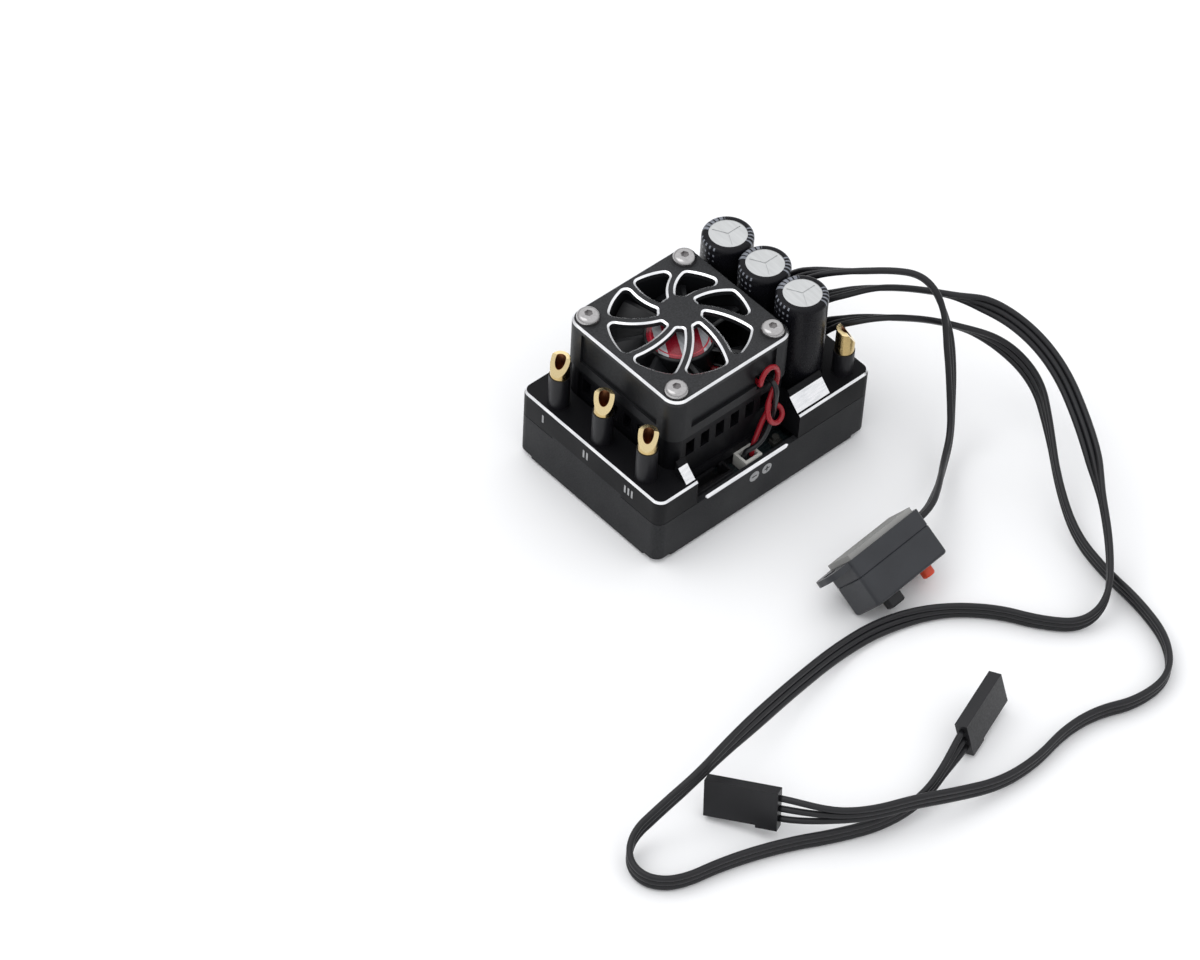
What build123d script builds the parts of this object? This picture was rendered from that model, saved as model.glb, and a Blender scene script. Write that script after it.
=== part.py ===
"""Electronic speed controller with its cooling fan, power switch and receiver leads.

Millimetres. Origin at the centre of the case's underside, +Z up. The long side of
the case runs along X: motor posts at -X, capacitors and power posts at +X, sensor
port and fan socket on the -Y side. The three leads lie on the surface beside it.
"""
from build123d import *
from math import pi, radians, tan
import os

# ---- case ---------------------------------------------------------------
CASE_LENGTH = 54.2
CASE_WIDTH = 38.7
CASE_CORNER_R = 2.0
CASE_WALL = 1.2
CASE_FLOOR = 1.6
SEAM_Z = 10.4               # lower and upper shells meet here
SEAM_GROOVE = 0.15
DECK_Z = (15.0, 16.5)       # the upper shell's flat top
RIM_CHAMFER = 0.38
FOOT_RELIEF = 1.0           # the underside's corners are raised by this much
FOOT_RELIEF_X = 23.1
FOOT_RELIEF_Y = 15.5
SEAM_TAB_Z = 11.05          # the lower shell rises to here in the middle of the -X wall
SEAM_TAB_Y = (-9.0, 10.0)
CASE_SCREW_X = 24.9
CASE_SCREW_Y = 17.2
CASE_SCREW_R = 0.95
CASE_SCREW_HEAD_R = 1.6
CASE_BOSS_R = 1.5
CASE_SCREW_TOP = 12.8

# ---- service bay in the -Y wall ------------------------------------------
BAY_X = (-17.5, 8.3)
BAY_BACK_Y = -14.6
BAY_EDGE_X = (-14.6, 5.4)   # chamfered stretch of the wall below the bay
BAY_EDGE_CHAMFER = 0.5
LIP_RIGHT_X = (8.4, 16.7)
LIP_LEFT_X = (-19.7, -17.5)
LIP_FOOT_Y = -18.5
LIP_SHOULDER_Y = -16.1       # the slope ends here and the crest begins
LIP_BACK_Y = -15.3
LIP_TOP_Z = 20.1
LEAD_SLOT_X = (22.9, 24.7)
LEAD_SLOT_Y = (-8.9, 5.1)

# ---- posts --------------------------------------------------------------
MOTOR_POST_X = -24.0
MOTOR_POST_PITCH = 12.07
MOTOR_POST_TOP = 28.5
POWER_POST_X = 22.7
POWER_POST_Y = 15.6
POWER_POST_TOP = 27.4
POST_R = 1.9
POST_TAIL_R = 0.9
POST_VISIBLE_MOTOR = 4.4
POST_VISIBLE_POWER = 5.4
SLEEVE_R = 2.05
SLEEVE_FLOOR_Z = 16.9       # the post stands on the closed floor of its insulating sleeve
SLEEVE_BUSH_R = 1.5
CUP_R = 1.0
CUP_DEPTH = 4.2
CUP_CUT_DEPTH = 4.0         # the cup's mouth is cut on a slope from this far below the top
CUP_CUT_X = (-0.4, 2.1)
MOTOR_CUP_FACING = (200, 220, 216)
POWER_CUP_FACING = (340, 0)

# ---- capacitors ---------------------------------------------------------
CAP_X = 15.62
CAP_PITCH = 10.1
CAP_R = 5.0
CAP_BASE_Z = 9.0
CAP_TOP = 37.3
CAP_BUNG_DEPTH = 2.7
CAP_HOLE_CLEARANCE = 0.15
CAP_SLEEVE = 0.12
CAP_OPEN_R = 3.7            # the sleeve leaves this much of the can's end bare
CAP_LEAD_PITCH = 5.0
CAP_LEAD_R = 0.35

# ---- boards -------------------------------------------------------------
POWER_BOARD_Z = (3.0, 4.6)
POWER_BOARD_X = 25.4
POWER_BOARD_Y = 17.6
MOSFET_TOP = 5.6
PAD_TOP = 6.4
PEDESTAL_X = (-19.0, 8.0)
PEDESTAL_Y = (-8.0, 14.0)
CONTROL_BOARD_Z = (6.8, 7.8)
CONTROL_BOARD_X = (-22.4, 9.0)
CONTROL_BOARD_Y = (-18.0, -9.0)
SENSOR_X = (-17.1, -7.0)
SENSOR_Y = (-18.1, -15.0)
SENSOR_TOP = 11.3
SENSOR_PIN_PITCH = 1.5
HEADER_X = (-3.8, 0.4)
HEADER_Y = (-18.0, -14.6)
HEADER_TOP = 10.7
PLUG_TOP = 9.7
PIN_SIZE = 0.5

# ---- cooling tower: heat sink, fan, guard --------------------------------
TOWER_X = -5.55
SINK_SIZE = 29.0
SINK_CLEARANCE = 0.1
SINK_BASE_Z = 12.6
SINK_CORNER_R = 3.0
SINK_BOSS_R = 2.5
SINK_TOP = 24.3
SINK_BASE_TOP = 16.0
SINK_BAND_Z = 22.9
SINK_RECESS = 0.5
SINK_PLENUM = 24.4
SLOT_WIDTH = 2.1
SLOT_PITCH = 3.75
SLOT_Z = (17.8, 21.4)
FAN_SIZE = 30.0
FAN_TOP = 33.6
FAN_BORE_R = 13.8
FAN_RECESS = 0.6
FAN_RECESS_HALF = 10.45
FAN_RECESS_Z = 26.5
FAN_NOTCH_X = (0.4, 4.7)
FAN_NOTCH_Z = (25.3, 28.6)
FAN_SCREW = 12.0            # screws stand at this distance from the fan's centre lines
FAN_SCREW_R = 1.25
FAN_SCREW_HEAD_R = 2.3
FAN_HUB_PLATE_TOP = 25.3
FAN_HUB_PLATE_R = 7.0
STRUT_WIDTH = 1.8
GUARD_TOP = 34.8
GUARD_RING_R = 13.15
GUARD_RING_OFFSET = (0.35, 0.5)
GUARD_HUB_R = 4.25
GUARD_HUB_OFFSET = (2.2, 2.5)
GUARD_SPOKES = 8
GUARD_SPOKE_WIDTH = 1.75
GUARD_SPOKE_TWIST = 28.0
GUARD_SPOKE_BULGE = 1.1
GUARD_EDGE_WIDTH = 0.42      # the petals' bevel: its width on the face and its drop
GUARD_EDGE_DROP = 0.24
GUARD_RIM_CHAMFER = 0.4

# ---- fan rotor and motor ---------------------------------------------------
HUB_R = 6.8
HUB_TOP = 32.0
HUB_BOTTOM = 26.6
HUB_CROWN = 1.2
LABEL_R = 6.2
LABEL_THICK = 0.08
BLADES = 7
BLADE_TIP_R = 13.4
BLADE_TOP = 31.6
BLADE_THICK = 0.7
SHAFT_R = 0.75
BEARING_BORE_R = 0.80
BEARING_R = 1.7
BEARING_TOP = 30.2
STATOR_R = 4.7
MAGNET_R = (5.15, 5.95)

# ---- fan lead ------------------------------------------------------------
FAN_WIRE_D = 1.05
FAN_RED_ROUTE = [
    (-2.97, -5.17, 25.9), (1.08, -11.65, 25.9), (1.5, -14.4, 26.2), (0.3, -16.0, 27.4), (0.2, -16.2, 29.6),
    (1.7, -16.1, 31.1), (3.7, -16.0, 30.4), (4.9, -15.8, 28.0), (4.8, -15.8, 25.2), (3.3, -16.1, 23.4),
    (1.7, -16.9, 21.7), (1.4, -17.6, 19.6), (2.3, -17.9, 17.5), (4.1, -17.8, 16.4), (5.9, -17.2, 17.0),
    (6.0, -15.9, 18.4), (4.3, -15.25, 18.6), (2.6, -15.3, 16.4), (1.0, -15.7, 13.8), (-0.7, -16.3, 11.9),
    (-0.7, -16.3, 9.7),
]
FAN_BLACK_ROUTE = [
    (-2.04, -4.58, 25.9), (2.02, -11.07, 25.9), (3.3, -14.2, 26.2), (3.0, -16.3, 27.2), (3.0, -17.5, 26.2),
    (3.1, -17.6, 23.9), (3.4, -17.2, 21.4), (3.9, -16.6, 19.0), (3.6, -16.5, 16.6), (2.3, -16.9, 14.5),
    (0.4, -17.3, 13.2), (-1.6, -17.2, 12.7), (-2.7, -16.3, 11.9), (-2.7, -16.3, 9.7),
]

# ---- flat three-wire leads ------------------------------------------------
RIBBON_WIDTH = 3.5
RIBBON_THICK = 1.2
LEAD_X = 23.8
SWITCH_LEAD_Y = 3.0
RECEIVER_1_Y = -1.8
RECEIVER_2_Y = -6.8
SWITCH_LEAD_ROUTE = [
    (23.8, 3.0, 16.5), (23.8, 3.0, 21.0), (23.7, 1.0, 27.0), (24.8, -4.4, 32.3), (29.6, -11.2, 34.8),
    (34.1, -15.3, 35.3), (37.2, -19.0, 35.2), (38.3, -22.5, 33.4), (38.6, -25.1, 29.2),
    (38.9, -26.8, 23.4), (38.7, -28.6, 16.6), (37.5, -30.8, 9.9),
    (34.8, -34.0, 4.9), (29.2, -37.8, 3.4), (22.6, -42.6, 6.0), (15.78, -46.71, 8.14),
    (11.59, -47.03, 8.14),
]
RECEIVER_1_ROUTE = [
    (23.8, -1.8, 16.5), (23.8, -1.8, 19.8), (24.3, -3.9, 24.2), (27.0, -8.2, 28.0), (34.0, -13.0, 29.4),
    (43.0, -19.7, 27.4), (51.5, -28.5, 24.2), (54.0, -41.0, 19.0), (49.0, -55.0, 13.4),
    (42.5, -66.0, 8.8), (35.6, -75.0, 6.6), (29.2, -81.2, 3.6), (22.5, -81.6, 1.75),
    (17.0, -76.2, 1.75), (12.4, -68.4, 1.75), (4.6, -61.5, 1.75), (-6.0, -57.6, 1.75),
    (-17.0, -57.2, 2.2), (-31.0, -60.0, 5.5), (-44.0, -63.2, 8.8), (-53.0, -65.3, 10.6),
    (-61.5, -66.8, 10.4), (-69.0, -65.9, 6.6), (-74.6, -65.2, 3.2), (-78.4, -68.4, 1.9), (-78.6, -73.4, 1.75),
    (-74.4, -77.4, 1.75), (-65.0, -79.2, 1.75), (-54.5, -83.0, 1.75), (-45.5, -87.8, 1.75),
    (-37.0, -91.0, 1.75), (-28.8, -91.7, 2.4), (-21.63, -89.92, 3.7), (-15.01, -87.72, 4.25),
]
RECEIVER_2_ROUTE = [
    (23.8, -6.8, 16.5), (23.8, -6.8, 18.6), (24.2, -8.4, 21.4), (26.4, -12.0, 24.4), (31.8, -17.0, 25.8),
    (41.0, -22.6, 23.2), (49.6, -29.6, 18.2), (52.4, -38.4, 12.6), (47.6, -47.0, 8.9),
    (41.4, -56.0, 5.2), (36.8, -65.4, 2.2), (34.9, -75.0, 1.75), (34.2, -84.6, 1.75),
    (31.6, -94.2, 1.75), (25.6, -100.4, 1.75), (16.8, -100.6, 1.75), (9.4, -97.4, 1.75),
    (1.6, -96.8, 1.75), (-7.0, -98.4, 1.75), (-16.0, -98.0, 2.1), (-25.0, -95.4, 3.9),
    (-33.0, -93.0, 6.0), (-39.6, -90.6, 6.2), (-44.6, -87.9, 6.5), (-49.21, -83.33, 6.47),
    (-51.92, -78.61, 5.69),
]

# ---- switch on the end of its lead ----------------------------------------
SWITCH_LENGTH = 19.0
SWITCH_DEPTH = 9.8          # back plate to front face
SWITCH_WIDTH = 9.3
SWITCH_BASE_DEPTH = 3.6
SWITCH_WALL = 1.0
SWITCH_CORNER_R = 1.0
SWITCH_TURN = (-146.1, 0.0, 4.4)
SWITCH_AT = (-7.3, -49.2, 12.96)
EAR_REACH = 4.4
EAR_WIDTH = 8.0
EAR_THICK = 1.2
EAR_HOLE_R = 1.35
TAPE_THICK = 1.0
KNOB_L = 6.0
KNOB_SIZE = (3.2, 2.2)
KNOB_PROUD = 2.3
KNOB_TRAVEL = 2.2
BUTTON_L = 15.5
BUTTON_R = 1.3
BUTTON_PROUD = 2.0

# ---- receiver plugs -------------------------------------------------------
PLUG_LENGTH = 13.6
PLUG_DEPTH = 2.5
PLUG_WIDTH = 7.1
PLUG_FLANGE = 0.5
PLUG_FLANGE_LENGTH = 4.0
CONTACT_PITCH = 2.54
CONTACT_SIZE = (1.3, 1.3)
PLUG_1_TURN = (165.1, -4.5, 18.4)
PLUG_1_AT = (-15.91, -85.78, 7.35)
PLUG_2_TURN = (-159.3, 8.2, 119.9)
PLUG_2_AT = (-52.11, -78.1, 9.41)


# ---- helpers ---------------------------------------------------------------
def block(x, y, z):
    """A box between the two ends given for each axis."""
    size = [hi - lo for lo, hi in (x, y, z)]
    centre = [(hi + lo) / 2 for lo, hi in (x, y, z)]
    return Pos(*centre) * Box(*size)


def disc(x, y, radius, z):
    return Pos(x, y, (z[0] + z[1]) / 2) * Cylinder(radius, z[1] - z[0])


def ring(x, y, inner, outer, z):
    return disc(x, y, outer, z) - disc(x, y, inner, z)


def slab(x_size, y_size, corner, z, x=0.0):
    """An upright rounded block centred on (x, 0)."""
    return Pos(x, 0, z[0]) * extrude(RectangleRounded(x_size, y_size, corner), z[1] - z[0])


def corners(x, y):
    return [(sx * x, sy * y) for sx in (-1, 1) for sy in (-1, 1)]


def quarter_turns(shape):
    """The shape repeated at four quarter turns about the vertical axis."""
    return [Rot(Z=turn) * shape for turn in (0, 90, 180, 270)]


def save(name, shape):
    if isinstance(shape, (list, tuple)):
        shape = Compound(children=list(shape))
    shape.label = name
    export_step(shape, f"parts/{name}.step")


def corner_radii(points):
    """The largest even arc at each corner of a route: 0.45 of the shorter run."""
    radii = []
    for before, corner, after in zip(points, points[1:], points[2:]):
        turn = (corner - before).get_angle(after - corner)
        run = min((corner - before).length, (after - corner).length)
        radii.append(0.45 * run / tan(radians(turn) / 2))
    return radii


def cord_tube(name, route, diameter):
    """A round tube of straight runs and tangent arcs along a route."""
    points = [Vector(*point) for point in route]
    radii = corner_radii(points)
    path = FilletPolyline(*points, radius=radii)
    start = Plane(origin=path @ 0, z_dir=path % 0)
    tube = sweep(start * Circle(diameter / 2), path=path)
    expected = path.length * pi * diameter ** 2 / 4
    print(f"{name}: {path.length:.1f} long, volume ratio {tube.volume / expected:.4f}, "
          f"radii {', '.join(f'{radius:.1f}' for radius in radii)}")
    return tube


# ---- case -------------------------------------------------------------------
def lower_case():
    shell = slab(CASE_LENGTH, CASE_WIDTH, CASE_CORNER_R, (0, SEAM_Z))
    bottom_edges = shell.edges().group_by(Axis.Z)[0]
    shell = chamfer(bottom_edges, 0.5)
    inner = (CASE_LENGTH - 2 * CASE_WALL, CASE_WIDTH - 2 * CASE_WALL, CASE_CORNER_R - CASE_WALL)
    shell -= slab(*inner, (CASE_FLOOR, SEAM_Z))
    tab = block((-CASE_LENGTH / 2, -CASE_LENGTH / 2 + CASE_WALL), SEAM_TAB_Y, (SEAM_Z, SEAM_TAB_Z))
    shell += tab
    outline = slab(CASE_LENGTH, CASE_WIDTH, CASE_CORNER_R, (0, SEAM_Z))
    for x, y in corners(CASE_SCREW_X, CASE_SCREW_Y):
        shell += disc(x, y, CASE_BOSS_R, (FOOT_RELIEF, SEAM_Z)) & outline
    for x, y in corners(1, 1):
        relief_x = sorted((x * FOOT_RELIEF_X, x * CASE_LENGTH))
        relief_y = sorted((y * FOOT_RELIEF_Y, y * CASE_WIDTH))
        shell -= block(relief_x, relief_y, (-1, FOOT_RELIEF))
    for x, y in corners(CASE_SCREW_X, CASE_SCREW_Y):
        shell -= disc(x, y, CASE_SCREW_R, (0, SEAM_Z))
    return shell - bay_edge_cutter()


def bay_edge_cutter():
    """A 45 degree cutter with rounded ends along the wall's top edge below the bay."""
    wall_y = -CASE_WIDTH / 2
    size = BAY_EDGE_CHAMFER
    profile = Plane.YZ * Pos(wall_y, SEAM_Z) * Polygon((0, -size), (size, 0), (0, size), (-size, 0), align=None)
    length = BAY_EDGE_X[1] - BAY_EDGE_X[0]
    cutter = Pos(BAY_EDGE_X[0], 0, 0) * extrude(profile, length)
    for x in BAY_EDGE_X:
        cutter += Pos(x, wall_y, SEAM_Z - size / 2) * Cone(0.01, size, size)
    return cutter


def upper_case():
    """A hollow cap with a flat deck, open round the heat sink, the capacitors and the bay."""
    shell = slab(CASE_LENGTH, CASE_WIDTH, CASE_CORNER_R, (SEAM_Z, DECK_Z[1]))
    shell = chamfer(shell.edges().group_by(Axis.Z)[-1], RIM_CHAMFER)
    shell = chamfer(shell.edges().group_by(Axis.Z)[0], SEAM_GROOVE)
    inner = (CASE_LENGTH - 2 * CASE_WALL, CASE_WIDTH - 2 * CASE_WALL, CASE_CORNER_R - CASE_WALL)
    shell -= slab(*inner, (SEAM_Z, DECK_Z[0]))
    for x, y in corners(CASE_SCREW_X, CASE_SCREW_Y):
        shell += disc(x, y, CASE_BOSS_R, (SEAM_Z, DECK_Z[0]))
        shell -= disc(x, y, CASE_SCREW_R, (SEAM_Z, CASE_SCREW_TOP + 0.2))
    for x in ((BAY_X[0] - CASE_WALL, BAY_X[0]), (BAY_X[1], BAY_X[1] + CASE_WALL)):
        shell += block(x, (-CASE_WIDTH / 2 + CASE_WALL / 2, BAY_BACK_Y), (SEAM_Z, DECK_Z[0]))
    back_x = (BAY_X[0] - CASE_WALL, BAY_X[1] + CASE_WALL)
    shell += block(back_x, (BAY_BACK_Y, BAY_BACK_Y + CASE_WALL), (SEAM_Z, SINK_BASE_Z))
    for lip_x in (LIP_RIGHT_X, LIP_LEFT_X):
        shell += lip(lip_x)
    shell -= block(BAY_X, (-CASE_WIDTH, BAY_BACK_Y), (SEAM_Z - 1, LIP_TOP_Z + 1))
    tab_x = (-CASE_LENGTH / 2, -CASE_LENGTH / 2 + CASE_WALL)
    shell -= block(tab_x, SEAM_TAB_Y, (SEAM_Z, SEAM_TAB_Z))
    return shell - deck_openings()


def deck_openings():
    sink_gap = SINK_SIZE + 2 * SINK_CLEARANCE
    openings = slab(sink_gap, sink_gap, SINK_BOSS_R + SINK_CLEARANCE, DECK_Z, x=TOWER_X)
    openings += block(LEAD_SLOT_X, LEAD_SLOT_Y, DECK_Z)
    openings += block((CAP_X - CAP_R / 2, CAP_X + CAP_R / 2), (-CAP_PITCH, CAP_PITCH), DECK_Z)
    for x, y in capacitor_places():
        openings += disc(x, y, CAP_R + CAP_HOLE_CLEARANCE, DECK_Z)
    for x, y in post_places():
        openings += disc(x, y, SLEEVE_BUSH_R, DECK_Z)
    return openings


def lip(x):
    """One raised ear beside the bay: a 45 degree slope, then a rounded crest."""
    low, top = DECK_Z
    shoulder = (LIP_SHOULDER_Y, top + LIP_SHOULDER_Y - LIP_FOOT_Y)
    crest = ((LIP_SHOULDER_Y + LIP_BACK_Y) / 2 - 0.05, LIP_TOP_Z - 0.25)
    profile = make_face([
        Polyline((LIP_BACK_Y, LIP_TOP_Z), (LIP_BACK_Y, low), (LIP_FOOT_Y, low), (LIP_FOOT_Y, top), shoulder),
        ThreePointArc(shoulder, crest, (LIP_BACK_Y, LIP_TOP_Z)),
    ])
    return Pos(x[0], 0, 0) * extrude(Plane.YZ * profile, x[1] - x[0])


def case_screws():
    screws = []
    for x, y in corners(CASE_SCREW_X, CASE_SCREW_Y):
        screw = disc(x, y, CASE_SCREW_R, (FOOT_RELIEF, CASE_SCREW_TOP))
        head = chamfer(disc(x, y, CASE_SCREW_HEAD_R, (0.1, FOOT_RELIEF)).edges().group_by(Axis.Z)[0], 0.2)
        cross = block((x - 0.9, x + 0.9), (y - 0.2, y + 0.2), (0, 0.55))
        cross += block((x - 0.2, x + 0.2), (y - 0.9, y + 0.9), (0, 0.55))
        screws.append(screw + (head - cross))
    return screws


# ---- posts --------------------------------------------------------------------
def motor_post_places():
    return [(MOTOR_POST_X, side * MOTOR_POST_PITCH) for side in (1, 0, -1)]


def power_post_places():
    return [(POWER_POST_X, side * POWER_POST_Y) for side in (-1, 1)]


def post_places():
    return motor_post_places() + power_post_places()


def post(x, y, top, facing):
    """A turned post with a solder cup whose mouth is cut on a slope, open towards an angle."""
    body = disc(x, y, POST_R, (SLEEVE_FLOOR_Z, top))
    body = chamfer(body.edges().group_by(Axis.Z)[-1], 0.12)
    body += disc(x, y, POST_TAIL_R, (POWER_BOARD_Z[0], SLEEVE_FLOOR_Z))
    body -= disc(x, y, CUP_R, (top - CUP_DEPTH, top))
    near, far = CUP_CUT_X
    wedge = Polygon((near, 0), (far, -CUP_CUT_DEPTH), (far, 1), (near, 1), align=None)
    mouth = extrude(Plane.XZ * wedge, POST_R + 1, both=True)
    return body - Pos(x, y, top) * Rot(Z=facing) * mouth


def post_sleeve(x, y, top):
    """An insulating sleeve: a tube round the post, a floor under it and a bush through the deck."""
    sleeve = disc(x, y, SLEEVE_R, (DECK_Z[1], top)) + disc(x, y, SLEEVE_BUSH_R, DECK_Z)
    sleeve -= disc(x, y, POST_R, (SLEEVE_FLOOR_Z, top))
    return sleeve - disc(x, y, POST_TAIL_R, (DECK_Z[0], SLEEVE_FLOOR_Z))


def post_sleeves():
    tops = [MOTOR_POST_TOP - POST_VISIBLE_MOTOR] * 3 + [POWER_POST_TOP - POST_VISIBLE_POWER] * 2
    return [post_sleeve(x, y, top) for (x, y), top in zip(post_places(), tops)]


# ---- capacitors -----------------------------------------------------------------
def capacitor_places():
    return [(CAP_X, side * CAP_PITCH) for side in (-1, 0, 1)]


def capacitor_lead_places():
    half = CAP_LEAD_PITCH / 2
    return [(x + side * half, y) for x, y in capacitor_places() for side in (-1, 1)]


def capacitor_can(x, y):
    """An aluminium can, open below for its rubber bung, with a scored vent on top."""
    radius = CAP_R - CAP_SLEEVE
    can = disc(x, y, radius, (CAP_BASE_Z + 0.3, CAP_TOP - CAP_SLEEVE))
    can = fillet(can.edges().group_by(Axis.Z)[-1], 0.8)
    can -= disc(x, y, radius - 0.4, (CAP_BASE_Z + 0.3, CAP_BASE_Z + CAP_BUNG_DEPTH))
    for turn in (0, 120, 240):
        score = Rot(Z=turn) * block((0, CAP_OPEN_R - 0.6), (-0.12, 0.12), (-0.15, 0.15))
        can -= Pos(x, y, CAP_TOP - CAP_SLEEVE) * score
    return can


def capacitor_sleeve(x, y):
    """A shrink sleeve that rolls over the can's top edge."""
    radius = CAP_R - CAP_SLEEVE
    skin = disc(x, y, CAP_R, (CAP_BASE_Z, CAP_TOP))
    skin = fillet(skin.edges().group_by(Axis.Z)[-1], 0.9)
    core = disc(x, y, radius, (CAP_BASE_Z, CAP_TOP - CAP_SLEEVE))
    core = fillet(core.edges().group_by(Axis.Z)[-1], 0.8)
    return skin - core - disc(x, y, CAP_OPEN_R, (CAP_TOP - 1, CAP_TOP))


def capacitor_bung(x, y):
    bung = disc(x, y, CAP_R - CAP_SLEEVE - 0.4, (CAP_BASE_Z + 0.3, CAP_BASE_Z + CAP_BUNG_DEPTH))
    for side in (-1, 1):
        bung -= disc(x + side * CAP_LEAD_PITCH / 2, y, CAP_LEAD_R, (CAP_BASE_Z, CAP_BASE_Z + CAP_BUNG_DEPTH))
    return bung


# ---- boards -----------------------------------------------------------------------
def power_board():
    board = slab(2 * POWER_BOARD_X, 2 * POWER_BOARD_Y, 0.8, POWER_BOARD_Z)
    for x, y in corners(CASE_SCREW_X, CASE_SCREW_Y):
        board -= disc(x, y, CASE_BOSS_R + 0.1, POWER_BOARD_Z)
    for x, y in post_places():
        board -= disc(x, y, POST_TAIL_R, POWER_BOARD_Z)
    for x, y in capacitor_lead_places():
        board -= disc(x, y, CAP_LEAD_R, POWER_BOARD_Z)
    return board


def board_rests():
    """Stubs on the shell's floor that carry the power board."""
    return [disc(x, y, 1.6, (CASE_FLOOR, POWER_BOARD_Z[0])) for x, y in corners(19.0, 13.5)]


def mosfets():
    """Two rows of six power transistors under the heat sink's foot."""
    top = POWER_BOARD_Z[1]
    left, right = PEDESTAL_X
    pitch = (right - left) / 6
    devices = []
    for row_y in (-3.0, 9.0):
        for column in range(6):
            x = left + (column + 0.5) * pitch
            devices.append(block((x - 1.9, x + 1.9), (row_y - 2.6, row_y + 2.6), (top, MOSFET_TOP)))
    return devices


def board_chips():
    """Gate drivers on the control board."""
    low = CONTROL_BOARD_Z[1]
    return [block((x - 1.2, x + 1.2), (-13.2, -10.6), (low, low + 0.9)) for x in (-20.6, -15.4, -10.2, 5.6)]


def board_headers():
    gap = (POWER_BOARD_Z[1], CONTROL_BOARD_Z[0])
    return [block((x - 4, x + 4), (-12.2, -9.8), gap) for x in (-17.0, 3.0)]


def sensor_socket():
    wall = 0.55
    outer = block(SENSOR_X, SENSOR_Y, (CONTROL_BOARD_Z[1], SENSOR_TOP))
    cavity_x = (SENSOR_X[0] + wall, SENSOR_X[1] - wall)
    cavity_y = (SENSOR_Y[0] + wall, SENSOR_Y[1] - wall)
    outer -= block(cavity_x, cavity_y, (CONTROL_BOARD_Z[1] + 0.8, SENSOR_TOP))
    key_x = (SENSOR_X[0] + SENSOR_X[1]) / 2
    for key in (key_x - 3.2, key_x + 3.2):
        outer -= block((key - 0.6, key + 0.6), (SENSOR_Y[1] - wall, SENSOR_Y[1]), (9.4, SENSOR_TOP))
    for x in sensor_pin_places():
        outer -= pin(x, (CONTROL_BOARD_Z[1], CONTROL_BOARD_Z[1] + 0.8))
    return outer


def sensor_pin_places():
    middle = (SENSOR_X[0] + SENSOR_X[1]) / 2
    return [middle + (index - 2.5) * SENSOR_PIN_PITCH for index in range(6)]


def pin(x, z):
    half = PIN_SIZE / 2
    return block((x - half, x + half), (-16.9 - half, -16.9 + half), z)


def fan_header():
    wall = 0.55
    outer = block(HEADER_X, HEADER_Y, (CONTROL_BOARD_Z[1], HEADER_TOP))
    cavity_x = (HEADER_X[0] + wall, HEADER_X[1] - wall)
    cavity_y = (HEADER_Y[0] + wall, HEADER_Y[1] - wall)
    return outer - block(cavity_x, cavity_y, (CONTROL_BOARD_Z[1] + 0.5, HEADER_TOP))


def fan_plug():
    margin = 0.6
    plug_x = (HEADER_X[0] + margin, HEADER_X[1] - margin)
    plug_y = (HEADER_Y[0] + margin, HEADER_Y[1] - margin)
    plug = block(plug_x, plug_y, (CONTROL_BOARD_Z[1] + 0.5, PLUG_TOP))
    return chamfer(plug.edges().group_by(Axis.Z)[-1], 0.15)


def led():
    base = block((5.0, 7.0), (-16.6, -15.0), (CONTROL_BOARD_Z[1], CONTROL_BOARD_Z[1] + 1.0))
    return base + disc(6.0, -15.8, 0.7, (CONTROL_BOARD_Z[1] + 1.0, CONTROL_BOARD_Z[1] + 1.9))


def lead_tails():
    """The leads' last stretch inside the case, down from the slot to the control board."""
    low = CONTROL_BOARD_Z[0]
    half = RIBBON_WIDTH / 2
    thick = RIBBON_THICK
    tails = []
    for drop_y, run_y in ((SWITCH_LEAD_Y, 3.0), (RECEIVER_1_Y, -2.4), (RECEIVER_2_Y, -6.8)):
        drop = block((LEAD_X - thick / 2, LEAD_X + thick / 2), (drop_y - half, drop_y + half), (low, DECK_Z[1]))
        run = block((CONTROL_BOARD_X[1] + 0.4, LEAD_X), (run_y - half, run_y + half), (low, low + thick))
        tails.append(drop + run)
    return tails


# ---- heat sink, fan frame and guard ------------------------------------------------
def heat_sink():
    """A pin-fin sink: a foot on the transistors, slotted walls and a field of pins."""
    half = SINK_SIZE / 2
    sink = slab(SINK_SIZE, SINK_SIZE, SINK_CORNER_R, (SINK_BASE_Z, SINK_TOP))
    sink -= slab(SINK_PLENUM, SINK_PLENUM, 1.0, (SINK_BASE_TOP, SINK_TOP))
    for x, y in corners(FAN_SCREW, FAN_SCREW):
        sink += disc(x, y, SINK_BOSS_R, (SINK_BASE_TOP, SINK_TOP))
    recess = block((-11.3, 11.3), (-half, -half + SINK_RECESS), (SINK_BASE_Z, SINK_BAND_Z))
    slots = [
        block((x - SLOT_WIDTH / 2, x + SLOT_WIDTH / 2), (-half, -SINK_PLENUM / 2 + 0.2), SLOT_Z)
        for x in (SLOT_PITCH * (index - 2.5) for index in range(6))
    ]
    for side in quarter_turns(recess) + [turned for slot in slots for turned in quarter_turns(slot)]:
        sink -= side
    for column in range(-2, 3):
        for row in range(-2, 3):
            x = column * SLOT_PITCH
            y = row * SLOT_PITCH
            sink += block((x - 0.75, x + 0.75), (y - 0.75, y + 0.75), (SINK_BASE_TOP, SINK_TOP - 0.6))
    for x, y in corners(FAN_SCREW, FAN_SCREW):
        sink -= disc(x, y, FAN_SCREW_R, (SINK_TOP - 5.0, SINK_TOP))
    return Pos(TOWER_X, 0, 0) * sink + block(PEDESTAL_X, PEDESTAL_Y, (PAD_TOP, SINK_BASE_Z))


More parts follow.
